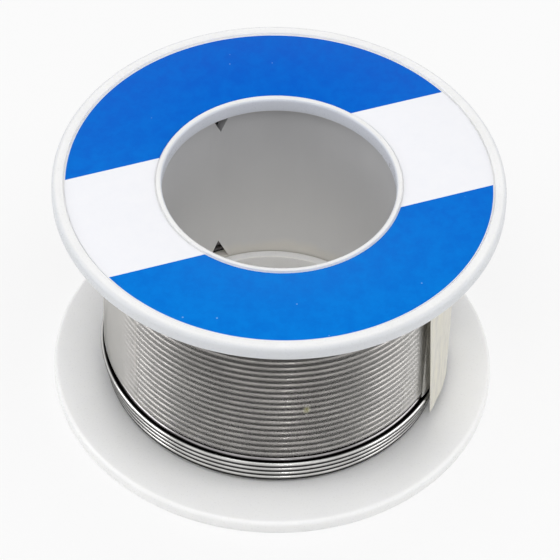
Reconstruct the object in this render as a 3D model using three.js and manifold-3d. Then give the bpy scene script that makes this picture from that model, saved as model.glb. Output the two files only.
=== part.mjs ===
// Solder wire spool: two moulded flanges on a core tube, an annular paper label, fine round
// solder wound in nested layers, a few bare turns beside the lower flange, a clear film wrapped
// round the rest of the winding, and a strip of tape that holds the wire's end. Millimetres,
// +Z up, origin at the centre of the base.

import * as THREE from 'three';
import * as BufferGeometryUtils from 'three/addons/utils/BufferGeometryUtils.js';
import Module from 'manifold-3d';

const wasm = await Module();
wasm.setup();

// ---------------------------------------------------------------- overall sizes
const spoolHeight = 28;
const flangeDiameter = 46;
const boreDiameter = 23.8;

// ---------------------------------------------------------------- flanges
const flangeThickness = 1.7;
const rimFillet = 0.45;
const lipFillet = 0.35;
const lipWidth = 0.55;
const labelRecessDepth = 0.3;
const tubeSeatDepth = 0.6;
const spigotWall = 0.9;
const spigotHeight = 2.8;

// ---------------------------------------------------------------- core tube and its windows
const tubeWall = 1.0;
const fitClearance = 0.1;
const windowWidth = 2.5;
const windowHeight = 2.8;
const windowAzimuths = [119, 299];

// ---------------------------------------------------------------- label
const labelThickness = 0.12;
const labelMargin = 0.15;
const labelOuterInset = 1.15;

// ---------------------------------------------------------------- solder wire
const wireDiameter = 0.8;
const turnPitch = 0.81;
const layerCount = 5;
const layerGap = 0.05;
const windingEndGap = 0.1;
const bareTurns = 4;
const bareTurnStep = 0.17;
const bareTurnGap = 0.06;
const wireEndAzimuth = -12;

// ---------------------------------------------------------------- film
const filmThickness = 0.1;
const filmGap = 0.12;
const filmSpiralGrowth = 0.32;
const filmOverlap = 35;
const filmEndAzimuth = -30;
const filmEdgeGap = 0.25;

// ---------------------------------------------------------------- end tape
const tapeThickness = 0.1;
const tapeGap = 0.1;
const tapeAzimuths = [-33, 14];

// ---------------------------------------------------------------- facets
const ringSegments = 48;
const filletSegments = 3;
const helixStepsPerTurn = 36;
const wireSides = 6;

// ---------------------------------------------------------------- derived sizes
const flangeRadius = flangeDiameter / 2;
const boreRadius = boreDiameter / 2;
const spigotRadius = boreRadius + spigotWall;
const tubeInnerRadius = spigotRadius + fitClearance;
const tubeOuterRadius = tubeInnerRadius + tubeWall;
const tubeSeatRadius = tubeOuterRadius + fitClearance;
const lowerFaceZ = flangeThickness;
const upperFaceZ = spoolHeight - flangeThickness;
const recessInnerRadius = boreRadius + lipWidth;
const recessOuterRadius = flangeRadius - labelOuterInset;
const wireRadius = wireDiameter / 2;
const layerStep = wireDiameter * Math.sqrt(3) / 2;
const layerOuterRadius = (layer) => tubeOuterRadius + wireDiameter + (layer - 1) * layerStep;
const windingBottomZ = lowerFaceZ + windingEndGap;
const windingTopZ = upperFaceZ - windingEndGap;
const bareBottomZ = lowerFaceZ + wireRadius + bareTurnGap;
const bareTopZ = bareBottomZ + bareTurns * turnPitch;
const bareInnerTurnRadius = tubeOuterRadius + (layerCount - 1) * layerStep + wireRadius
  + layerGap + bareTurnGap;
const bareOuterTurnRadius = bareInnerTurnRadius + bareTurns * bareTurnStep;
const outerLayerBottomZ = bareTopZ + wireRadius + bareTurnGap;

// ---------------------------------------------------------------- helpers
const radians = THREE.MathUtils.degToRad;

// Points of a quarter-round corner about (centreR, centreZ), from one angle to another.
function cornerArc(centreR, centreZ, radius, fromDegrees, toDegrees) {
  const points = [];
  for (let step = 0; step <= filletSegments; step += 1) {
    const angle = radians(fromDegrees + (toDegrees - fromDegrees) * step / filletSegments);
    points.push([centreR + radius * Math.cos(angle), centreZ + radius * Math.sin(angle)]);
  }
  return points;
}

// A ring turned about Z from a closed outline of [radius, height] points, counterclockwise.
function turned(outline) {
  const profile = outline.map(([radius, height]) => new THREE.Vector2(radius, height));
  profile.push(profile[0].clone());
  const geometry = new THREE.LatheGeometry(profile, ringSegments);
  geometry.rotateX(Math.PI / 2);
  return geometry;
}

function ring(innerRadius, outerRadius, bottomZ, topZ) {
  return turned([
    [innerRadius, bottomZ],
    [outerRadius, bottomZ],
    [outerRadius, topZ],
    [innerRadius, topZ],
  ]);
}

function toManifold(geometry) {
  const bare = geometry.clone();
  bare.deleteAttribute('normal');
  bare.deleteAttribute('uv');
  const merged = BufferGeometryUtils.mergeVertices(bare, 1e-4);
  return new wasm.Manifold(new wasm.Mesh({
    numProp: 3,
    vertProperties: new Float32Array(merged.attributes.position.array),
    triVerts: new Uint32Array(merged.index.array),
  }));
}

function toGeometry(manifold) {
  const mesh = manifold.getMesh();
  const geometry = new THREE.BufferGeometry();
  geometry.setAttribute('position', new THREE.BufferAttribute(mesh.vertProperties, 3));
  geometry.setIndex(new THREE.BufferAttribute(mesh.triVerts, 1));
  geometry.computeVertexNormals();
  return geometry;
}

// ---------------------------------------------------------------- materials
const clearMoulding = new THREE.MeshStandardMaterial({
  color: 0xe8e9ea, roughness: 0.35, metalness: 0, transparent: true, opacity: 0.85,
});
const coreMoulding = new THREE.MeshStandardMaterial({ color: 0xd4d5d6, roughness: 0.4, metalness: 0 });
const labelPrint = new THREE.MeshStandardMaterial({ color: 0x0070d3, roughness: 0.45, metalness: 0 });
const solder = new THREE.MeshStandardMaterial({ color: 0x9a9a9c, roughness: 0.3, metalness: 1 });
const clearFilm = new THREE.MeshStandardMaterial({
  color: 0xe6e5e0, roughness: 0.15, metalness: 0, transparent: true, opacity: 0.3,
});

const cloudyTape = new THREE.MeshStandardMaterial({
  color: 0xe4e1d6, roughness: 0.4, metalness: 0, transparent: true, opacity: 0.7,
});

const spool = new THREE.Group();

function addPart(name, geometry, material) {
  const mesh = new THREE.Mesh(geometry, material);
  mesh.name = name;
  spool.add(mesh);
  return mesh;
}

// ---------------------------------------------------------------- flanges
// Drawn with the winding side at height 0 and the label side up. The tube seats in a rebate
// of the winding side, and a spigot, where there is one, reaches down into the tube.
function flangeGeometry(spigotLength) {
  const top = flangeThickness;
  const recessFloor = flangeThickness - labelRecessDepth;
  const boreStart = spigotLength > 0
    ? [[boreRadius, -spigotLength], [spigotRadius, -spigotLength], [spigotRadius, tubeSeatDepth]]
    : [[boreRadius, tubeSeatDepth]];
  return turned([
    ...boreStart,
    [tubeSeatRadius, tubeSeatDepth],
    [tubeSeatRadius, 0],
    ...cornerArc(flangeRadius - rimFillet, rimFillet, rimFillet, -90, 0),
    ...cornerArc(flangeRadius - rimFillet, top - rimFillet, rimFillet, 0, 90),
    [recessOuterRadius, top],
    [recessOuterRadius, recessFloor],
    [recessInnerRadius, recessFloor],
    [recessInnerRadius, top],
    ...cornerArc(boreRadius + lipFillet, top - lipFillet, lipFillet, 90, 180),
  ]);
}

const flangeTop = addPart('flange_top', flangeGeometry(0), clearMoulding);
flangeTop.position.z = upperFaceZ;

// The lower flange lies label side down.
const flangeBottom = addPart('flange_bottom', flangeGeometry(spigotHeight), clearMoulding);
flangeBottom.rotation.x = Math.PI;
flangeBottom.position.z = lowerFaceZ;

// ---------------------------------------------------------------- core tube
// A triangular prism that points up or down and runs outwards through the tube wall.
function windowCutter(azimuth, baseZ, pointZ) {
  const reach = tubeWall * 2;
  const outline = new THREE.Shape([
    new THREE.Vector2(-windowWidth / 2, baseZ),
    new THREE.Vector2(windowWidth / 2, baseZ),
    new THREE.Vector2(0, pointZ),
  ]);
  const prism = new THREE.ExtrudeGeometry(outline, { depth: tubeWall + 2 * reach, bevelEnabled: false });
  prism.rotateX(Math.PI / 2);
  prism.translate(0, reach - tubeInnerRadius, 0);
  prism.rotateZ(radians(azimuth + 90));
  return toManifold(prism);
}

const tubeBottomZ = lowerFaceZ - tubeSeatDepth;
const tubeTopZ = upperFaceZ + tubeSeatDepth;
let coreTube = toManifold(ring(tubeInnerRadius, tubeOuterRadius, tubeBottomZ, tubeTopZ));
for (const azimuth of windowAzimuths) {
  const lowerWindowZ = lowerFaceZ + spigotHeight;
  coreTube = coreTube.subtract(windowCutter(azimuth, lowerWindowZ, lowerWindowZ + windowHeight));
  coreTube = coreTube.subtract(windowCutter(azimuth, upperFaceZ, upperFaceZ - windowHeight));
}
addPart('core_tube', toGeometry(coreTube), coreMoulding);

// ---------------------------------------------------------------- label
const labelFloorZ = spoolHeight - labelRecessDepth;
addPart(
  'label_top',
  ring(
    recessInnerRadius + labelMargin,
    recessOuterRadius - labelMargin,
    labelFloorZ,
    labelFloorZ + labelThickness,
  ),
  labelPrint,
);

// ---------------------------------------------------------------- wound layers
// Each layer is the ring that its turns fill. Only the outermost one shows its turns.
for (let layer = 1; layer < layerCount; layer += 1) {
  const innerRadius = tubeOuterRadius + (layer - 1) * layerStep + layerGap;
  const outerRadius = tubeOuterRadius + layer * layerStep;
  addPart(`wire_layer_${layer}`, ring(innerRadius, outerRadius, windingBottomZ, windingTopZ), solder);
}

// The outermost layer stops above the bare turns, and its outside is ridged turn by turn.
const outerLayerTurns = Math.floor((windingTopZ - outerLayerBottomZ) / turnPitch);
const outerLayerInnerRadius = tubeOuterRadius + (layerCount - 1) * layerStep + layerGap;
const ridgeRadius = layerOuterRadius(layerCount);
const grooveRadius = ridgeRadius - wireRadius / 2;
const ridgedOutline = [[outerLayerInnerRadius, outerLayerBottomZ], [grooveRadius, outerLayerBottomZ]];
for (let turn = 0; turn < outerLayerTurns; turn += 1) {
  const turnBottomZ = outerLayerBottomZ + turn * turnPitch;
  ridgedOutline.push([ridgeRadius, turnBottomZ + turnPitch / 2]);
  ridgedOutline.push([grooveRadius, turnBottomZ + turnPitch]);
}
ridgedOutline.push([outerLayerInnerRadius, outerLayerBottomZ + outerLayerTurns * turnPitch]);
addPart(`wire_layer_${layerCount}`, turned(ridgedOutline), solder);

// ---------------------------------------------------------------- bare turns
// One length of wire that runs down beside the outermost layer to the lower flange, each
// turn a little closer in than the one above it.
class BareTurnPath extends THREE.Curve {
  getPoint(t, target = new THREE.Vector3()) {
    const angle = radians(wireEndAzimuth) + t * bareTurns * 2 * Math.PI;
    const radius = THREE.MathUtils.lerp(bareOuterTurnRadius, bareInnerTurnRadius, t);
    const height = THREE.MathUtils.lerp(bareTopZ, bareBottomZ, t);
    return target.set(radius * Math.cos(angle), radius * Math.sin(angle), height);
  }
}

const wireSection = new THREE.Shape();
for (let side = 0; side < wireSides; side += 1) {
  const angle = 2 * Math.PI * side / wireSides;
  const point = [wireRadius * Math.cos(angle), wireRadius * Math.sin(angle)];
  if (side === 0) {
    wireSection.moveTo(...point);
  } else {
    wireSection.lineTo(...point);
  }
}
addPart(
  'wire_bare_turns',
  new THREE.ExtrudeGeometry(wireSection, {
    steps: Math.round(bareTurns * helixStepsPerTurn),
    extrudePath: new BareTurnPath(),
    bevelEnabled: false,
  }),
  solder,
);

// ---------------------------------------------------------------- film wrap
// A thin strip bent round Z between two azimuths. Its radius grows evenly on the way from the
// first azimuth to the second.
function bentStrip({ fromAzimuth, toAzimuth, startRadius, growth, thickness, bottomZ, topZ }) {
  const sweep = toAzimuth - fromAzimuth;
  const steps = Math.round(ringSegments * Math.abs(sweep) / 360);
  const inside = [];
  const outside = [];
  for (let step = 0; step <= steps; step += 1) {
    const angle = radians(fromAzimuth + sweep * step / steps);
    const radius = startRadius + growth * step / steps;
    const direction = new THREE.Vector2(Math.cos(angle), Math.sin(angle));
    inside.push(direction.clone().multiplyScalar(radius));
    outside.push(direction.clone().multiplyScalar(radius + thickness));
  }
  const outline = new THREE.Shape([...inside, ...outside.reverse()]);
  const strip = new THREE.ExtrudeGeometry(outline, { depth: topZ - bottomZ, bevelEnabled: false });
  strip.translate(0, 0, bottomZ);
  return strip;
}

// The film goes round a little more than once, so that its outer end lies over its inner end.
const filmTopZ = upperFaceZ - filmEdgeGap;
const filmSweep = 360 + filmOverlap;
addPart(
  'film_wrap',
  bentStrip({
    fromAzimuth: filmEndAzimuth + filmSweep,
    toAzimuth: filmEndAzimuth,
    startRadius: ridgeRadius + filmGap,
    growth: filmSpiralGrowth * filmSweep / 360,
    thickness: filmThickness,
    bottomZ: outerLayerBottomZ + filmEdgeGap,
    topZ: filmTopZ,
  }),
  clearFilm,
);

// ---------------------------------------------------------------- end tape
// It lies over the film's lap and over both ends of the bare turns.
addPart(
  'end_tape',
  bentStrip({
    fromAzimuth: tapeAzimuths[0],
    toAzimuth: tapeAzimuths[1],
    startRadius: bareOuterTurnRadius + wireRadius + tapeGap,
    growth: 0,
    thickness: tapeThickness,
    bottomZ: lowerFaceZ + filmEdgeGap,
    topZ: filmTopZ,
  }),
  cloudyTape,
);

export default spool;
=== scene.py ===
"""Solder wire spool: frosted flanges, a ring label, wound solder under clear film, an end tape."""

import math
import random

import bpy
from mathutils import Matrix, Vector


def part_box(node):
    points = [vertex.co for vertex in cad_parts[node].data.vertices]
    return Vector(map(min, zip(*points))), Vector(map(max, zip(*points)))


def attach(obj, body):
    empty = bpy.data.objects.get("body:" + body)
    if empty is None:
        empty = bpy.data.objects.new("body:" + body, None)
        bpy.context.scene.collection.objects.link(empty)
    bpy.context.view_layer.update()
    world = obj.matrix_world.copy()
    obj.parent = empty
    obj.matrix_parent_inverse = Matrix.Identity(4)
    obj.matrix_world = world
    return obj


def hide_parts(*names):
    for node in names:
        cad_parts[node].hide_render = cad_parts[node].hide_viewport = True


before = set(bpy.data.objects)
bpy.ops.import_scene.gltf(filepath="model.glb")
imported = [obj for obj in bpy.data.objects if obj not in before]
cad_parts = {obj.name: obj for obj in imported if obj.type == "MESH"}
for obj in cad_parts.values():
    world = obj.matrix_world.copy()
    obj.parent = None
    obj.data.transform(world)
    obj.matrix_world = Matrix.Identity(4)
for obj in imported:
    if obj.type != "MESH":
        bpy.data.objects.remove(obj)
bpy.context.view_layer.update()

MM = 0.001
TAU = 2 * math.pi
rng = random.Random(7)

# ------------------------------------------------------------------ sizes taken from the frame
flange_top_low, flange_top_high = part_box("flange_top")
flange_bottom_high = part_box("flange_bottom")[1]
core_low, core_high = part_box("core_tube")
label_low, label_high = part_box("label_top")
layer_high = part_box("wire_layer_5")[1]
bare_low, bare_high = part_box("wire_bare_turns")
film_low, film_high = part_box("film_wrap")
tape_low, tape_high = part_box("end_tape")

FLANGE_RADIUS = flange_top_high.x
SPOOL_HEIGHT = flange_top_high.z
FLANGE_THICKNESS = flange_top_high.z - flange_top_low.z
LOWER_FACE = FLANGE_THICKNESS
UPPER_FACE = flange_top_low.z
SPIGOT_TOP = flange_bottom_high.z
CORE_OUTER = core_high.x
LABEL_OUTER = label_high.x

# ------------------------------------------------------------------ sizes that the boxes don't give
# Azimuths, sweeps and leans are in degrees.
BORE_RADIUS = 11.9 * MM
SPIGOT_WALL = 0.9 * MM
FIT_CLEARANCE = 0.1 * MM
CORE_WALL = 1.0 * MM
TUBE_SEAT = 0.6 * MM
RECESS_DEPTH = 0.3 * MM
RIM_WIDTH = 1.15 * MM
LIP_WIDTH = 0.55 * MM
LABEL_MARGIN = 0.15 * MM
RIM_FILLET = 0.45 * MM
LIP_FILLET = 0.35 * MM
EDGE_BREAK = 0.06 * MM
WINDOW_WIDTH = 2.5 * MM
WINDOW_HEIGHT = 2.8 * MM
WINDOW_AZIMUTHS = (119, 299)
WIRE_RADIUS = 0.4 * MM
TURN_PITCH = 0.81 * MM
WIRE_PLAY = 0.008 * MM
WIRE_END_AZIMUTH = -12
BARE_TURNS = 4
BARE_TURN_STEP = 0.17 * MM
OUTER_TURNS = 26
OUTER_TOP_GAP = 0.05 * MM
INNER_TURNS = 29
INNER_TOP_GAP = 0.1 * MM
INNER_START_AZIMUTH = 100
INNER_WIRE_SHARE = 0.97
SHEET_THICKNESS = 0.06 * MM
FILM_END_AZIMUTH = -30
FILM_SWEEP = 395
FILM_GAP = 0.12 * MM
FILM_GROWTH_PER_TURN = 0.32 * MM
FILM_RIPPLE = 0.012 * MM
FILM_EDGE_WAVE = 0.12 * MM
TAPE_AZIMUTHS = (-33, 14)
TAPE_LEAN = 7.5
TAPE_INSET = 0.12 * MM
TAPE_RIPPLE = 0.015 * MM
TAPE_END_RISE = 0.8 * MM
TAPE_EDGE_WAVE = 0.2 * MM

CORE_INNER = CORE_OUTER - CORE_WALL
SPIGOT_RADIUS = BORE_RADIUS + SPIGOT_WALL
SEAT_RADIUS = CORE_OUTER + FIT_CLEARANCE

# ------------------------------------------------------------------ fineness of the meshes
RING_SEGMENTS = 256
FILLET_STEPS = 8
EDGE_STEPS = 3
SHARP_ANGLE = math.radians(35)


# ------------------------------------------------------------------ mesh helpers
def make_piece(name, vertices, faces, material, slot, *nodes):
    """A mesh object with smooth faces and sharp edges, riding on the one body."""
    mesh = bpy.data.meshes.new(name)
    mesh.from_pydata([tuple(v) for v in vertices], [], faces)
    mesh.validate()
    mesh.update()
    mesh.shade_smooth()
    mesh.set_sharp_from_angle(angle=SHARP_ANGLE)
    piece = bpy.data.objects.new(name, mesh)
    bpy.context.scene.collection.objects.link(piece)
    mesh.materials.append(material)
    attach(piece, "root")
    if nodes:
        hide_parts(*nodes)
    return piece


def turned(outline, segments):
    """Vertices and faces of a closed [radius, height] outline turned about Z."""
    count = len(outline)
    vertices = []
    for s in range(segments):
        angle = TAU * s / segments
        c, n = math.cos(angle), math.sin(angle)
        vertices += [(r * c, r * n, z) for r, z in outline]
    faces = []
    for s in range(segments):
        here, there = s * count, (s + 1) % segments * count
        for k in range(count):
            m = (k + 1) % count
            faces.append((here + k, there + k, there + m, here + m))
    return vertices, faces


def corner(centre_r, centre_z, radius, start, end, steps=FILLET_STEPS):
    """Points of a round corner of an outline, from one angle to another, in degrees."""
    points = []
    for k in range(steps + 1):
        angle = math.radians(start + (end - start) * k / steps)
        points.append((centre_r + radius * math.cos(angle), centre_z + radius * math.sin(angle)))
    return points


def swept(points, radius, sides, cap_rings=4):
    """A round wire along points, with domed ends."""
    count = len(points)
    tangents = [
        (points[min(k + 1, count - 1)] - points[max(k - 1, 0)]).normalized() for k in range(count)
    ]
    rings = []
    for k in range(cap_rings, 0, -1):
        angle = math.pi / 2 * k / (cap_rings + 0.5)
        rings.append((points[0] - tangents[0] * radius * math.sin(angle), 0, math.cos(angle)))
    rings += [(point, k, 1.0) for k, point in enumerate(points)]
    for k in range(1, cap_rings + 1):
        angle = math.pi / 2 * k / (cap_rings + 0.5)
        rings.append((points[-1] + tangents[-1] * radius * math.sin(angle), -1, math.cos(angle)))
    vertices = []
    for centre, index, scale in rings:
        tangent = tangents[index]
        side = tangent.cross(Vector((0, 0, 1))).normalized()
        up = side.cross(tangent)
        for s in range(sides):
            angle = TAU * s / sides
            offset = side * math.cos(angle) + up * math.sin(angle)
            vertices.append(centre + offset * radius * scale)
    faces = []
    for k in range(len(rings) - 1):
        for s in range(sides):
            t = (s + 1) % sides
            faces.append((k * sides + s, (k + 1) * sides + s, (k + 1) * sides + t, k * sides + t))
    faces.append(tuple(range(sides)))
    last = (len(rings) - 1) * sides
    faces.append(tuple(last + s for s in range(sides))[::-1])
    return vertices, faces


# ------------------------------------------------------------------ material helpers
class Nodes:
    """Short names for building a node material."""

    def __init__(self, name):
        self.material = bpy.data.materials.new(name)
        self.material.use_nodes = True
        self.tree = self.material.node_tree
        self.tree.nodes.clear()
        self.output = self.add("ShaderNodeOutputMaterial")
        self.position = self.add("ShaderNodeTexCoord").outputs["Object"]

    def add(self, kind, **settings):
        node = self.tree.nodes.new(kind)
        for key, value in settings.items():
            setattr(node, key, value)
        return node

    def link(self, source, target):
        if isinstance(source, (int, float, tuple)):
            target.default_value = source
        else:
            self.tree.links.new(source, target)

    def shader(self, colour, roughness, **sockets):
        node = self.add("ShaderNodeBsdfPrincipled")
        self.link(colour, node.inputs["Base Color"])
        self.link(roughness, node.inputs["Roughness"])
        for key, value in sockets.items():
            self.link(value, node.inputs[key.replace("_", " ")])
        return node

    def math(self, operation, *values):
        node = self.add("ShaderNodeMath", operation=operation)
        for socket, value in zip(node.inputs, values):
            self.link(value, socket)
        return node.outputs[0]

    def mix(self, factor, a, b):
        """Colour a where factor is 0 and b where it is 1. Sockets 6, 7 and 2 are the colour ones."""
        node = self.add("ShaderNodeMix", data_type="RGBA")
        self.link(factor, node.inputs[0])
        self.link(a, node.inputs[6])
        self.link(b, node.inputs[7])
        return node.outputs[2]

    def blend(self, share, first, second):
        """The shader first where share is 0 and second where it is 1."""
        node = self.add("ShaderNodeMixShader")
        self.link(share, node.inputs[0])
        self.link(first.outputs[0], node.inputs[1])
        self.link(second.outputs[0], node.inputs[2])
        return node

    def ramp(self, factor, low, high, low_value=0.0, high_value=1.0):
        """A smooth step from low_value, where factor is low, to high_value, where it is high."""
        node = self.add("ShaderNodeMapRange", interpolation_type="SMOOTHSTEP")
        for key, value in zip(("Value", "From Min", "From Max", "To Min", "To Max"),
                              (factor, low, high, low_value, high_value)):
            self.link(value, node.inputs[key])
        return node.outputs[0]

    def noise(self, scale, detail=3.0, roughness=0.5, vector=None):
        node = self.add("ShaderNodeTexNoise")
        self.link(vector or self.position, node.inputs["Vector"])
        node.inputs["Scale"].default_value = scale
        node.inputs["Detail"].default_value = detail
        node.inputs["Roughness"].default_value = roughness
        return node.outputs["Fac"]

    def specks(self, scale, size):
        """Sparse round specks, in about one cell in seven: 1 inside a speck, 0 outside."""
        node = self.add("ShaderNodeTexVoronoi")
        self.link(self.position, node.inputs["Vector"])
        node.inputs["Scale"].default_value = scale
        chosen = self.add("ShaderNodeSeparateColor")
        self.link(node.outputs["Color"], chosen.inputs[0])
        near = self.ramp(node.outputs["Distance"], size, size * 0.6)
        rare = self.math("GREATER_THAN", chosen.outputs[0], 0.86)
        return self.math("MULTIPLY", near, rare)

    def xyz(self, vector=None):
        node = self.add("ShaderNodeSeparateXYZ")
        self.link(vector or self.position, node.inputs[0])
        return node.outputs

    def bump(self, height, strength, distance, normal=None):
        node = self.add("ShaderNodeBump")
        node.inputs["Strength"].default_value = strength
        node.inputs["Distance"].default_value = distance
        self.link(height, node.inputs["Height"])
        if normal is not None:
            self.link(normal, node.inputs["Normal"])
        return node.outputs[0]

    def polar(self):
        """(azimuth in radians, radius) about the spool's axis."""
        x, y, _ = self.xyz()
        azimuth = self.math("ARCTAN2", y, x)
        radius = self.math("SQRT", self.math("ADD", self.math("MULTIPLY", x, x),
                                             self.math("MULTIPLY", y, y)))
        return azimuth, radius

    def combine(self, x, y, z):
        node = self.add("ShaderNodeCombineXYZ")
        for socket, value in zip(node.inputs, (x, y, z)):
            self.link(value, socket)
        return node.outputs[0]

    def done(self, shader):
        self.link(shader, self.output.inputs["Surface"])
        return self.material


def linear(red, green, blue):
    """An sRGB colour, 0 to 255, as the linear colour with alpha that a socket takes."""
    def channel(value):
        value /= 255
        return value / 12.92 if value <= 0.04045 else ((value + 0.055) / 1.055) ** 2.4
    return (channel(red), channel(green), channel(blue), 1.0)


# ------------------------------------------------------------------ materials
def frosted_plastic():
    """Frosted clear moulding: cloudy, finely grained, with a few dark specks."""
    n = Nodes("flange_plastic")
    cloud = n.noise(180, 4, 0.55)
    grain = n.noise(5200, 2, 0.6)
    colour = n.mix(n.ramp(cloud, 0.35, 0.65), linear(236, 236, 236), linear(240, 240, 240))
    _, radius = n.polar()
    height = n.xyz()[2]
    upper = n.ramp(height, SPIGOT_TOP, UPPER_FACE)
    # Painted light and shade on the bore's wall: a bluish grey at the top, for the label's blue light
    # on the shaded lip, and a cream tone below, for the light from under the spool.
    wall = n.ramp(radius, BORE_RADIUS + 0.2 * MM, BORE_RADIUS + 0.05 * MM)
    colour = n.mix(wall, colour, n.mix(upper, linear(252, 248, 240), linear(214, 218, 228)))
    # Painted shade: the upper flange's thick edge is painted greyer than its faces, for the way the
    # edge of a clear moulding looks.
    edge = n.ramp(radius, FLANGE_RADIUS - 0.5 * MM, FLANGE_RADIUS - 0.06 * MM)
    painted_edge_shade = n.math("MULTIPLY", edge, n.math("MULTIPLY", upper, 0.8))
    colour = n.mix(painted_edge_shade, colour, linear(206, 209, 213))
    # The lower flange is lighter, to make up for the upper one's shade.
    colour = n.mix(upper, n.mix(0.5, colour, linear(252, 252, 252)), colour)
    specks = n.specks(260, 0.07)
    colour = n.mix(n.math("MULTIPLY", specks, 0.35), colour, linear(120, 116, 108))
    roughness = n.ramp(grain, 0.3, 0.7, 0.26, 0.42)
    normal = n.bump(grain, 0.12, 0.02 * MM)
    normal = n.bump(cloud, 0.25, 0.05 * MM, normal)
    shader = n.shader(colour, roughness, Normal=normal, IOR=1.49, Subsurface_Weight=0.35,
                      Subsurface_Radius=(1.0, 1.0, 1.1), Subsurface_Scale=1.6 * MM)
    return n.done(shader.outputs[0])


def core_plastic():
    """Thin frosted wall, grey where the solder behind it shows through, with painted light from under
    the spool: lighter towards the bottom, and a cream glow above the spigot.
    """
    n = Nodes("core_plastic")
    _, _, z = n.xyz()
    behind = n.math("MULTIPLY", n.ramp(z, LOWER_FACE, LOWER_FACE + 0.9 * MM),
                    n.ramp(z, UPPER_FACE, UPPER_FACE - 0.3 * MM))
    azimuth, _ = n.polar()
    streaks = n.noise(1.0, 3, 0.5, n.combine(n.math("MULTIPLY", azimuth, 3.0),
                                            n.math("MULTIPLY", z, 60.0), 0.0))
    # Painted light: the grey is painted lighter towards the bottom, for the light from under the
    # spool.
    upper = n.mix(streaks, linear(188, 188, 190), linear(198, 198, 199))
    lower = n.mix(streaks, linear(236, 235, 233), linear(243, 242, 240))
    grey = n.mix(n.ramp(z, SPIGOT_TOP, UPPER_FACE), lower, upper)
    # Painted light: a ragged cream glow just above the spigot, for the light from under the spool.
    ragged = n.math("ADD", z, n.math("MULTIPLY", n.math("SUBTRACT", streaks, 0.5), 3 * MM))
    glow = n.ramp(ragged, SPIGOT_TOP + 2.2 * MM, SPIGOT_TOP + 0.4 * MM)
    grey = n.mix(glow, grey, linear(248, 244, 236))
    colour = n.mix(behind, linear(246, 242, 234), grey)
    grain = n.noise(5200, 2, 0.6)
    roughness = n.ramp(grain, 0.3, 0.7, 0.32, 0.46)
    normal = n.bump(grain, 0.1, 0.02 * MM)
    shader = n.shader(colour, roughness, Normal=normal, IOR=1.49, Subsurface_Weight=0.2,
                      Subsurface_Radius=(1.0, 1.0, 1.0), Subsurface_Scale=0.8 * MM)
    return n.done(shader.outputs[0])


BAND_ANGLE = 21.4
BAND_HALF_WIDTH = 7.1 * MM


def label_print():
    """Two blue fields either side of a bare white band, under a thin clear coat."""
    n = Nodes("label_print")
    x, y, _ = n.xyz()
    angle = math.radians(BAND_ANGLE)
    across = n.math("SUBTRACT", n.math("MULTIPLY", y, math.cos(angle)),
                    n.math("MULTIPLY", x, math.sin(angle)))
    outside = n.math("SUBTRACT", n.math("ABSOLUTE", across), BAND_HALF_WIDTH)
    fibre = n.noise(9000, 2, 0.6)
    wander = n.math("MULTIPLY", n.math("SUBTRACT", fibre, 0.5), 0.03 * MM)
    blue_field = n.ramp(n.math("ADD", outside, wander), -0.02 * MM, 0.02 * MM)
    _, radius = n.polar()
    inside_edge = n.ramp(radius, LABEL_OUTER - 0.1 * MM, LABEL_OUTER - 0.05 * MM, 1.0, 0.0)
    blue_field = n.math("MULTIPLY", blue_field, inside_edge)
    mottle = n.noise(700, 5, 0.65)
    # Painted light and shade: the blue is painted lighter on the near side and darker on the far side,
    # for how the light falls on the label.
    near_blue_painted_light = n.mix(n.ramp(mottle, 0.3, 0.7), linear(0, 114, 212), linear(0, 124, 219))
    far_blue_painted_shade = n.mix(n.ramp(mottle, 0.3, 0.7), linear(0, 92, 202), linear(0, 102, 208))
    blue = n.mix(n.ramp(y, -LABEL_OUTER, LABEL_OUTER), near_blue_painted_light, far_blue_painted_shade)
    dust = n.specks(900, 0.1)
    blue = n.mix(n.math("MULTIPLY", dust, 0.55), blue, linear(150, 200, 240))
    paper = n.mix(mottle, linear(246, 246, 249), linear(240, 241, 246))
    colour = n.mix(blue_field, paper, blue)
    normal = n.bump(fibre, 0.08, 0.01 * MM)
    normal = n.bump(n.noise(260, 2, 0.5), 0.2, 0.04 * MM, normal)
    shader = n.shader(colour, n.ramp(mottle, 0.3, 0.7, 0.34, 0.46), Normal=normal, IOR=1.5,
                      Specular_IOR_Level=0.04)
    return n.done(shader.outputs[0])


def solder_metal(name, bright, dull, painted_groove_shade, crown_from):
    """Drawn solder: metal where it leans upwards, and a painted shade, the dark groove tone, where it
    faces level, down or straight up. crown_from is the upward lean at which the metal tone starts."""
    n = Nodes(name)
    azimuth, radius = n.polar()
    _, _, z = n.xyz()
    # Drawing marks run along the wire, so the pattern is long in azimuth and short across.
    along = n.combine(n.math("MULTIPLY", azimuth, 9.0), n.math("MULTIPLY", z, 5000.0),
                      n.math("MULTIPLY", radius, 5000.0))
    marks = n.noise(1.0, 3, 0.6, along)
    stain = n.noise(300, 4, 0.6)
    facing_up = n.xyz(n.add("ShaderNodeNewGeometry").outputs["Normal"])[2]
    crown = n.math("MULTIPLY", n.ramp(facing_up, crown_from, 0.62), n.ramp(facing_up, 0.94, 0.7))
    metal = n.mix(n.ramp(stain, 0.3, 0.75), dull, bright)
    # Painted shade: the dark tone between the wires and where the wire faces level, down or straight
    # up.
    colour = n.mix(crown, painted_groove_shade, metal)
    roughness = n.ramp(marks, 0.25, 0.75, 0.14, 0.22)
    normal = n.bump(marks, 0.02, 0.02 * MM)
    shader = n.shader(colour, roughness, Normal=normal, Metallic=1.0)
    return n.done(shader.outputs[0])


CREASE_AZIMUTH = -142
GLUE_AZIMUTH = -78
GLUE_HEIGHT = 13 * MM
GLUE_HEIGHT_TO_WIDTH = 2


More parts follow.
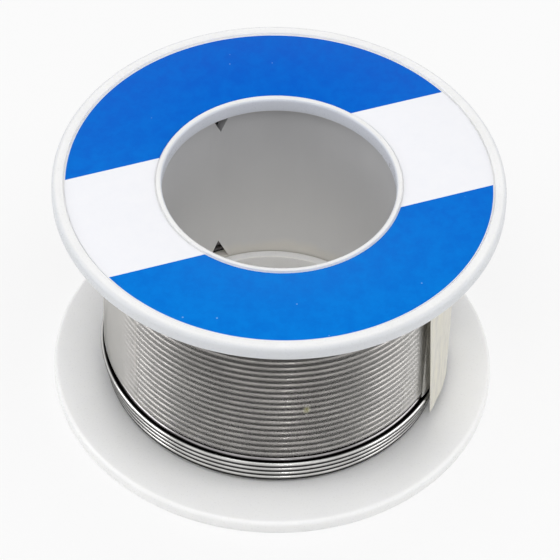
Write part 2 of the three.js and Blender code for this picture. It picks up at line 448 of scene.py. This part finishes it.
def clear_film():
    """Thin film: clear, with a faint haze all over, and more of a mirror at a glancing view."""
    n = Nodes("clear_film")
    azimuth, _ = n.polar()
    _, _, z = n.xyz()
    ripple = n.noise(1.0, 3, 0.55, n.combine(n.math("MULTIPLY", azimuth, 22.0),
                                            n.math("MULTIPLY", z, 160.0), 0.0))
    normal = n.bump(ripple, 0.3, 0.12 * MM)
    # A brown crease at the left, which fades out towards the bottom.
    from_crease = n.math("ABSOLUTE", n.math("SUBTRACT", azimuth, math.radians(CREASE_AZIMUTH)))
    crease = n.math("MULTIPLY", n.ramp(from_crease, 0.014, 0.003), n.ramp(z, 8 * MM, 12 * MM))
    # A ragged yellow spot of glue at the front.
    around = n.math("MULTIPLY", n.math("SUBTRACT", azimuth, math.radians(GLUE_AZIMUTH)),
                    GLUE_HEIGHT_TO_WIDTH * layer_high.x)
    above = n.math("SUBTRACT", z, GLUE_HEIGHT)
    from_glue = n.math("SQRT", n.math("ADD", n.math("MULTIPLY", around, around),
                                      n.math("MULTIPLY", above, above)))
    ragged = n.math("MULTIPLY", n.noise(1400, 3, 0.6), 1.2 * MM)
    glue = n.ramp(n.math("ADD", from_glue, ragged), 1.5 * MM, 0.7 * MM)
    # The haze, which the crease and the glue thicken.
    colour = n.mix(crease, linear(238, 236, 230), linear(170, 160, 150))
    colour = n.mix(glue, colour, linear(176, 172, 96))
    haze = n.shader(colour, 0.14, Normal=normal, IOR=1.5)
    haze_share = n.math("ADD", n.math("MULTIPLY", crease, 0.2), n.math("MULTIPLY", glue, 0.3))
    haze_share = n.math("ADD", 0.03, haze_share)
    clear = n.add("ShaderNodeBsdfTransparent")
    clear.inputs["Color"].default_value = (0.98, 0.98, 0.97, 1.0)
    hazy = n.blend(haze_share, clear, haze)
    # The gloss.
    layer = n.add("ShaderNodeLayerWeight")
    layer.inputs["Blend"].default_value = 0.5
    mirror = n.add("ShaderNodeBsdfGlossy")
    mirror.inputs["Color"].default_value = (0.78, 0.77, 0.75, 1.0)
    mirror.inputs["Roughness"].default_value = 0.35
    n.link(normal, mirror.inputs["Normal"])
    mirror_share = n.ramp(layer.outputs["Facing"], 0.33, 0.74, 0.02, 0.38)
    return n.done(n.blend(mirror_share, hazy, mirror).outputs[0])


def cloudy_tape():
    """Milky tape, thinner in places."""
    n = Nodes("cloudy_tape")
    azimuth, _ = n.polar()
    _, _, z = n.xyz()
    cloud = n.noise(1.0, 4, 0.6, n.combine(n.math("MULTIPLY", azimuth, 26.0),
                                          n.math("MULTIPLY", z, 210.0), 0.0))
    colour = n.mix(n.ramp(cloud, 0.35, 0.7), linear(244, 241, 232), linear(232, 228, 212))
    body = n.shader(colour, 0.38, Normal=n.bump(cloud, 0.3, 0.1 * MM), IOR=1.48)
    clear = n.add("ShaderNodeBsdfTransparent")
    return n.done(n.blend(n.ramp(cloud, 0.25, 0.75, 0.62, 0.88), clear, body).outputs[0])


flange_material = frosted_plastic()
core_material = core_plastic()
label_material = label_print()
wire_material = solder_metal("solder_wire", linear(168, 165, 165), linear(142, 139, 140),
                             linear(30, 28, 28), 0.0)
bare_material = solder_metal("solder_bare", linear(214, 213, 211), linear(188, 187, 185),
                             linear(9, 8, 8), 0.05)
film_material = clear_film()
tape_material = cloudy_tape()


# ------------------------------------------------------------------ flanges
def flange_outline(spigot_length):
    """Outline with its winding side at height 0 and its label side up, every edge broken.

    The core tube's end sits in the groove between SPIGOT_RADIUS and SEAT_RADIUS. The wall inside
    that groove is the spigot, or with no spigot length the collar that reaches into the tube.
    """
    top = FLANGE_THICKNESS
    floor = top - RECESS_DEPTH
    recess_outer = FLANGE_RADIUS - RIM_WIDTH
    recess_inner = BORE_RADIUS + LIP_WIDTH
    e = EDGE_BREAK
    return [
        *corner(BORE_RADIUS + e, e - spigot_length, e, 180, 270, EDGE_STEPS),
        *corner(SPIGOT_RADIUS - e, e - spigot_length, e, 270, 360, EDGE_STEPS),
        (SPIGOT_RADIUS, TUBE_SEAT),
        (SEAT_RADIUS, TUBE_SEAT),
        *corner(SEAT_RADIUS + e, e, e, 180, 270, EDGE_STEPS),
        *corner(FLANGE_RADIUS - RIM_FILLET, RIM_FILLET, RIM_FILLET, 270, 360),
        *corner(FLANGE_RADIUS - RIM_FILLET, top - RIM_FILLET, RIM_FILLET, 0, 90),
        *corner(recess_outer + e, top - e, e, 90, 180, EDGE_STEPS),
        *corner(recess_outer - e, floor + e, e, 0, -90, EDGE_STEPS),
        *corner(recess_inner + e, floor + e, e, -90, -180, EDGE_STEPS),
        *corner(recess_inner - e, top - e, e, 0, 90, EDGE_STEPS),
        *corner(BORE_RADIUS + LIP_FILLET, top - LIP_FILLET, LIP_FILLET, 90, 180),
    ]


top_outline = [(r, z + UPPER_FACE) for r, z in flange_outline(0)]
make_piece("flange_top_shell", *turned(top_outline, RING_SEGMENTS), flange_material,
           "flange_plastic", "flange_top")
bottom_outline = [(r, LOWER_FACE - z) for r, z in flange_outline(SPIGOT_TOP - LOWER_FACE)][::-1]
make_piece("flange_bottom_shell", *turned(bottom_outline, RING_SEGMENTS), flange_material,
           "flange_plastic", "flange_bottom")


# ------------------------------------------------------------------ core tube with windows
def window_prism(azimuth, base, point):
    """A triangular bar that runs outwards through the tube wall, from its base height to its point."""
    angle = math.radians(azimuth)
    outward = Vector((math.cos(angle), math.sin(angle), 0))
    sideways = Vector((-math.sin(angle), math.cos(angle), 0))
    vertices = []
    for radius in (CORE_INNER - CORE_WALL, CORE_OUTER + CORE_WALL):
        for side, height in ((-0.5, base), (0.5, base), (0, point)):
            vertices.append(outward * radius + sideways * side * WINDOW_WIDTH + Vector((0, 0, height)))
    faces = [(0, 1, 2), (3, 5, 4), (0, 3, 4, 1), (1, 4, 5, 2), (2, 5, 3, 0)]
    if point > base:
        faces = [face[::-1] for face in faces]
    mesh = bpy.data.meshes.new("window_cutter")
    mesh.from_pydata([tuple(v) for v in vertices], [], faces)
    cutter = bpy.data.objects.new("window_cutter", mesh)
    bpy.context.scene.collection.objects.link(cutter)
    return cutter


tube_outline = [
    *corner(CORE_INNER + EDGE_BREAK, core_low.z + EDGE_BREAK, EDGE_BREAK, 180, 270, EDGE_STEPS),
    *corner(CORE_OUTER - EDGE_BREAK, core_low.z + EDGE_BREAK, EDGE_BREAK, 270, 360, EDGE_STEPS),
    *corner(CORE_OUTER - EDGE_BREAK, core_high.z - EDGE_BREAK, EDGE_BREAK, 0, 90, EDGE_STEPS),
    *corner(CORE_INNER + EDGE_BREAK, core_high.z - EDGE_BREAK, EDGE_BREAK, 90, 180, EDGE_STEPS),
]
core = make_piece("core_tube_shell", *turned(tube_outline, RING_SEGMENTS), core_material,
                  "core_plastic", "core_tube")
for window_azimuth in WINDOW_AZIMUTHS:
    for base, point in ((SPIGOT_TOP, SPIGOT_TOP + WINDOW_HEIGHT),
                        (UPPER_FACE, UPPER_FACE - WINDOW_HEIGHT)):
        cutter = window_prism(window_azimuth, base, point)
        cut = core.modifiers.new("window", "BOOLEAN")
        cut.operation = "DIFFERENCE"
        cut.solver = "EXACT"
        cut.object = cutter
        with bpy.context.temp_override(object=core, active_object=core):
            bpy.ops.object.modifier_apply(modifier=cut.name)
        bpy.data.objects.remove(cutter)
core.data.set_sharp_from_angle(angle=SHARP_ANGLE)

# ------------------------------------------------------------------ label
label_inner = BORE_RADIUS + LIP_WIDTH + LABEL_MARGIN
label_edge = 0.03 * MM
label_outline = [
    (label_inner, label_low.z),
    (LABEL_OUTER, label_low.z),
    *corner(LABEL_OUTER - label_edge, label_high.z - label_edge, label_edge, 0, 90, EDGE_STEPS),
    *corner(label_inner + label_edge, label_high.z - label_edge, label_edge, 90, 180, EDGE_STEPS),
]
make_piece("ring_label", *turned(label_outline, RING_SEGMENTS), label_material, "label", "label_top")


# ------------------------------------------------------------------ wound solder
def drift(count, size):
    """A slow random wander that is pulled back towards 0: count values, scaled by size."""
    values, value = [], 0.0
    for _ in range(count):
        value += rng.uniform(-1, 1)
        value *= 0.97
        values.append(value * size)
    return values


def helix(start_azimuth, turns, start_radius, end_radius, start_z, end_z, steps_per_turn, play=0.0):
    """Points of a helix; play is how far the wire wanders up and down from it."""
    steps = round(turns * steps_per_turn)
    per_control = steps_per_turn // 8
    wander = drift(steps // per_control + 3, play)
    points = []
    for k in range(steps + 1):
        t = k / steps
        cell, part = divmod(k / per_control, 1)
        part = part * part * (3 - 2 * part)
        slip = wander[int(cell)] * (1 - part) + wander[int(cell) + 1] * part
        angle = math.radians(start_azimuth) + TAU * turns * t
        radius = start_radius + (end_radius - start_radius) * t
        height = start_z + (end_z - start_z) * t + slip
        points.append(Vector((radius * math.cos(angle), radius * math.sin(angle), height)))
    return points


# Bare turns: from under the end tape, down to the lower flange.
bare_bottom = bare_low.z + WIRE_RADIUS
bare_top = bare_bottom + BARE_TURNS * TURN_PITCH
bare_inner = bare_high.x - WIRE_RADIUS - BARE_TURNS * BARE_TURN_STEP
bare_outer = bare_inner + BARE_TURNS * BARE_TURN_STEP
bare_path = helix(WIRE_END_AZIMUTH, BARE_TURNS, bare_outer, bare_inner, bare_top, bare_bottom,
                  steps_per_turn=160)
make_piece("wire_bare_turns_wound", *swept(bare_path, WIRE_RADIUS, sides=20), bare_material,
           "solder", "wire_bare_turns")

# The outermost layer under the film.
outer_radius = layer_high.x - WIRE_RADIUS
outer_top = UPPER_FACE - WIRE_RADIUS - OUTER_TOP_GAP
outer_path = helix(WIRE_END_AZIMUTH, OUTER_TURNS, outer_radius, outer_radius, outer_top,
                   outer_top - OUTER_TURNS * TURN_PITCH, steps_per_turn=128, play=WIRE_PLAY)
make_piece("wire_outer_layer_wound", *swept(outer_path, WIRE_RADIUS, sides=16), wire_material,
           "solder", "wire_layer_5")

# The innermost layer, which shows through the windows of the core tube.
inner_radius = CORE_OUTER + WIRE_RADIUS
inner_top = UPPER_FACE - WIRE_RADIUS - INNER_TOP_GAP
inner_path = helix(INNER_START_AZIMUTH, INNER_TURNS, inner_radius, inner_radius, inner_top,
                   inner_top - INNER_TURNS * TURN_PITCH, steps_per_turn=96, play=WIRE_PLAY)
make_piece("wire_inner_layer_wound", *swept(inner_path, WIRE_RADIUS * INNER_WIRE_SHARE, sides=10),
           wire_material, "solder", "wire_layer_1")

# The layers between them are hidden, and keep their CAD shapes.
for hidden_layer in ("wire_layer_2", "wire_layer_3", "wire_layer_4"):
    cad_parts[hidden_layer].data.materials.clear()
    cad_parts[hidden_layer].data.materials.append(wire_material)


# ------------------------------------------------------------------ film and tape
def bent_strip(from_azimuth, to_azimuth, radius_at, bottom_at, top, columns, rows, lean=0):
    """A thin closed strip bent round Z. Its first edge leans by lean degrees from top to bottom.

    t runs along the strip and v up it, both from 0 to 1.
    """
    grid = []
    for layer in (0, 1):
        for i in range(columns + 1):
            t = i / columns
            for j in range(rows + 1):
                v = j / rows
                start = from_azimuth + lean * (1 - v)
                angle = math.radians(start + (to_azimuth - start) * t)
                height = bottom_at(t) + (top - bottom_at(t)) * v
                radius = radius_at(t, v) + layer * SHEET_THICKNESS
                grid.append((radius * math.cos(angle), radius * math.sin(angle), height))
    size = (columns + 1) * (rows + 1)

    def at(layer, i, j):
        return layer * size + i * (rows + 1) + j

    forward = to_azimuth > from_azimuth
    faces = []

    def quad(a, b, c, d):
        faces.append((a, b, c, d) if forward else (d, c, b, a))

    for i in range(columns):
        for j in range(rows):
            quad(at(1, i, j), at(1, i + 1, j), at(1, i + 1, j + 1), at(1, i, j + 1))
            quad(at(0, i, j + 1), at(0, i + 1, j + 1), at(0, i + 1, j), at(0, i, j))
        quad(at(0, i, 0), at(0, i + 1, 0), at(1, i + 1, 0), at(1, i, 0))
        quad(at(1, i, rows), at(1, i + 1, rows), at(0, i + 1, rows), at(0, i, rows))
    for j in range(rows):
        quad(at(1, 0, j), at(1, 0, j + 1), at(0, 0, j + 1), at(0, 0, j))
        quad(at(0, columns, j), at(0, columns, j + 1), at(1, columns, j + 1), at(1, columns, j))
    return grid, faces


film_start_radius = layer_high.x + FILM_GAP
film_growth = FILM_GROWTH_PER_TURN * FILM_SWEEP / 360
tape_radius = tape_high.x - TAPE_INSET


def film_radius(t, v):
    return film_start_radius + film_growth * t + FILM_RIPPLE * math.sin(9 * TAU * t + 4 * v)


def film_bottom(t):
    return film_low.z + FILM_EDGE_WAVE * math.sin(3 * TAU * t + 0.6)


def tape_radius_at(t, v):
    return tape_radius + TAPE_RIPPLE * math.sin(5 * TAU * t + 3 * v)


def tape_bottom(t):
    return tape_low.z + TAPE_END_RISE + TAPE_EDGE_WAVE * math.sin(2 * TAU * t)


film_strip = bent_strip(FILM_END_AZIMUTH + FILM_SWEEP, FILM_END_AZIMUTH, film_radius, film_bottom,
                        film_high.z, columns=360, rows=24)
make_piece("film_wrap_sheet", *film_strip, film_material, "film", "film_wrap")
tape_strip = bent_strip(*TAPE_AZIMUTHS, tape_radius_at, tape_bottom, tape_high.z, columns=60,
                        rows=24, lean=TAPE_LEAN)
make_piece("end_tape_strip", *tape_strip, tape_material, "tape", "end_tape")


# ------------------------------------------------------------------ floor, light and camera
# BACKGROUND_GLOW is the share of plain white in the floor that the camera sees, and WORLD_LIGHT is
# the world's strength on the object. Places and sizes here are in metres, and lamps in watts.
BACKGROUND_GLOW = 0.8
WORLD_LIGHT = 0.55
FLOOR_HALF = 3.0


def seen_directly(tree, scale):
    """Scale for rays from the camera, a mirror or glass, and 0 for the rays that light the object."""
    path = tree.nodes.new("ShaderNodeLightPath")
    total = path.outputs["Is Camera Ray"]
    for ray in ("Is Glossy Ray", "Is Transmission Ray"):
        join = tree.nodes.new("ShaderNodeMath")
        join.operation = "MAXIMUM"
        tree.links.new(total, join.inputs[0])
        tree.links.new(path.outputs[ray], join.inputs[1])
        total = join.outputs[0]
    scaled = tree.nodes.new("ShaderNodeMath")
    scaled.operation = "MULTIPLY"
    tree.links.new(total, scaled.inputs[0])
    scaled.inputs[1].default_value = scale
    return scaled.outputs[0]


def studio_floor():
    """White to the camera, with a part of the shadow that falls on it."""
    n = Nodes("studio_floor")
    colour = n.mix(n.noise(30, 2, 0.5), linear(236, 236, 236), linear(232, 232, 232))
    paper = n.shader(colour, 0.9, Specular_IOR_Level=0.1)
    glow = n.add("ShaderNodeEmission")
    return n.done(n.blend(seen_directly(n.tree, BACKGROUND_GLOW), paper, glow).outputs[0])


floor_mesh = bpy.data.meshes.new("floor")
floor_corners = [(FLOOR_HALF * x, FLOOR_HALF * y, 0) for x, y in ((-1, -1), (1, -1), (1, 1), (-1, 1))]
floor_mesh.from_pydata(floor_corners, [], [(0, 1, 2, 3)])
floor = bpy.data.objects.new("floor", floor_mesh)
bpy.context.scene.collection.objects.link(floor)
floor_mesh.materials.append(studio_floor())


def softbox(name, place, size, power):
    """A rectangular lamp that faces the middle of the spool."""
    data = bpy.data.lights.new(name, "AREA")
    data.shape = "RECTANGLE"
    data.size, data.size_y = size
    data.energy = power
    lamp = bpy.data.objects.new(name, data)
    lamp.location = place
    to_spool = Vector((0, 0, SPOOL_HEIGHT / 2)) - Vector(place)
    lamp.rotation_euler = to_spool.to_track_quat("-Z", "Y").to_euler()
    bpy.context.scene.collection.objects.link(lamp)


softbox("overhead", place=(0.0, -0.3, 0.74), size=(0.5, 0.4), power=1.8)
softbox("left", place=(-0.75, -0.12, 0.32), size=(0.55, 0.4), power=1.9)
softbox("right", place=(0.75, -0.12, 0.32), size=(0.55, 0.4), power=1.5)
softbox("front", place=(0.14, -0.75, 0.42), size=(0.035, 0.14), power=0.14)
softbox("back", place=(0.0, 0.8, 0.5), size=(0.6, 0.4), power=0.8)

world = bpy.data.worlds.new("studio")
world.use_nodes = True
background = world.node_tree.nodes["Background"]
background.inputs["Color"].default_value = (1, 1, 1, 1)
strength = world.node_tree.nodes.new("ShaderNodeMath")
strength.operation = "ADD"
strength.inputs[1].default_value = WORLD_LIGHT
world.node_tree.links.new(seen_directly(world.node_tree, 1 - WORLD_LIGHT), strength.inputs[0])
world.node_tree.links.new(strength.outputs[0], background.inputs["Strength"])
bpy.context.scene.world = world
bpy.context.scene.view_settings.view_transform = "Standard"
bpy.context.scene.cycles.transparent_max_bounces = 24

# Angles in degrees, distance in metres and lens in millimetres, fitted to the photo.
CAMERA_ELEVATION = 45.25
CAMERA_ROLL = 2.3
CAMERA_DISTANCE = 0.414
CAMERA_LENS = 263.6
CAMERA_AIM = Vector((0.46 * MM, 0, 13.5 * MM))
elevation = math.radians(CAMERA_ELEVATION)
eye = Vector((0, -math.cos(elevation), math.sin(elevation))) * CAMERA_DISTANCE
eye.z += SPOOL_HEIGHT
camera_data = bpy.data.cameras.new("camera")
camera_data.lens = CAMERA_LENS
camera_data.clip_start = 0.01
camera = bpy.data.objects.new("camera", camera_data)
look = (CAMERA_AIM - eye).to_track_quat("-Z", "Y").to_matrix().to_4x4()
roll = Matrix.Rotation(math.radians(CAMERA_ROLL), 4, "Z")
camera.matrix_world = Matrix.Translation(eye) @ look @ roll
bpy.context.scene.collection.objects.link(camera)
bpy.context.scene.camera = camera
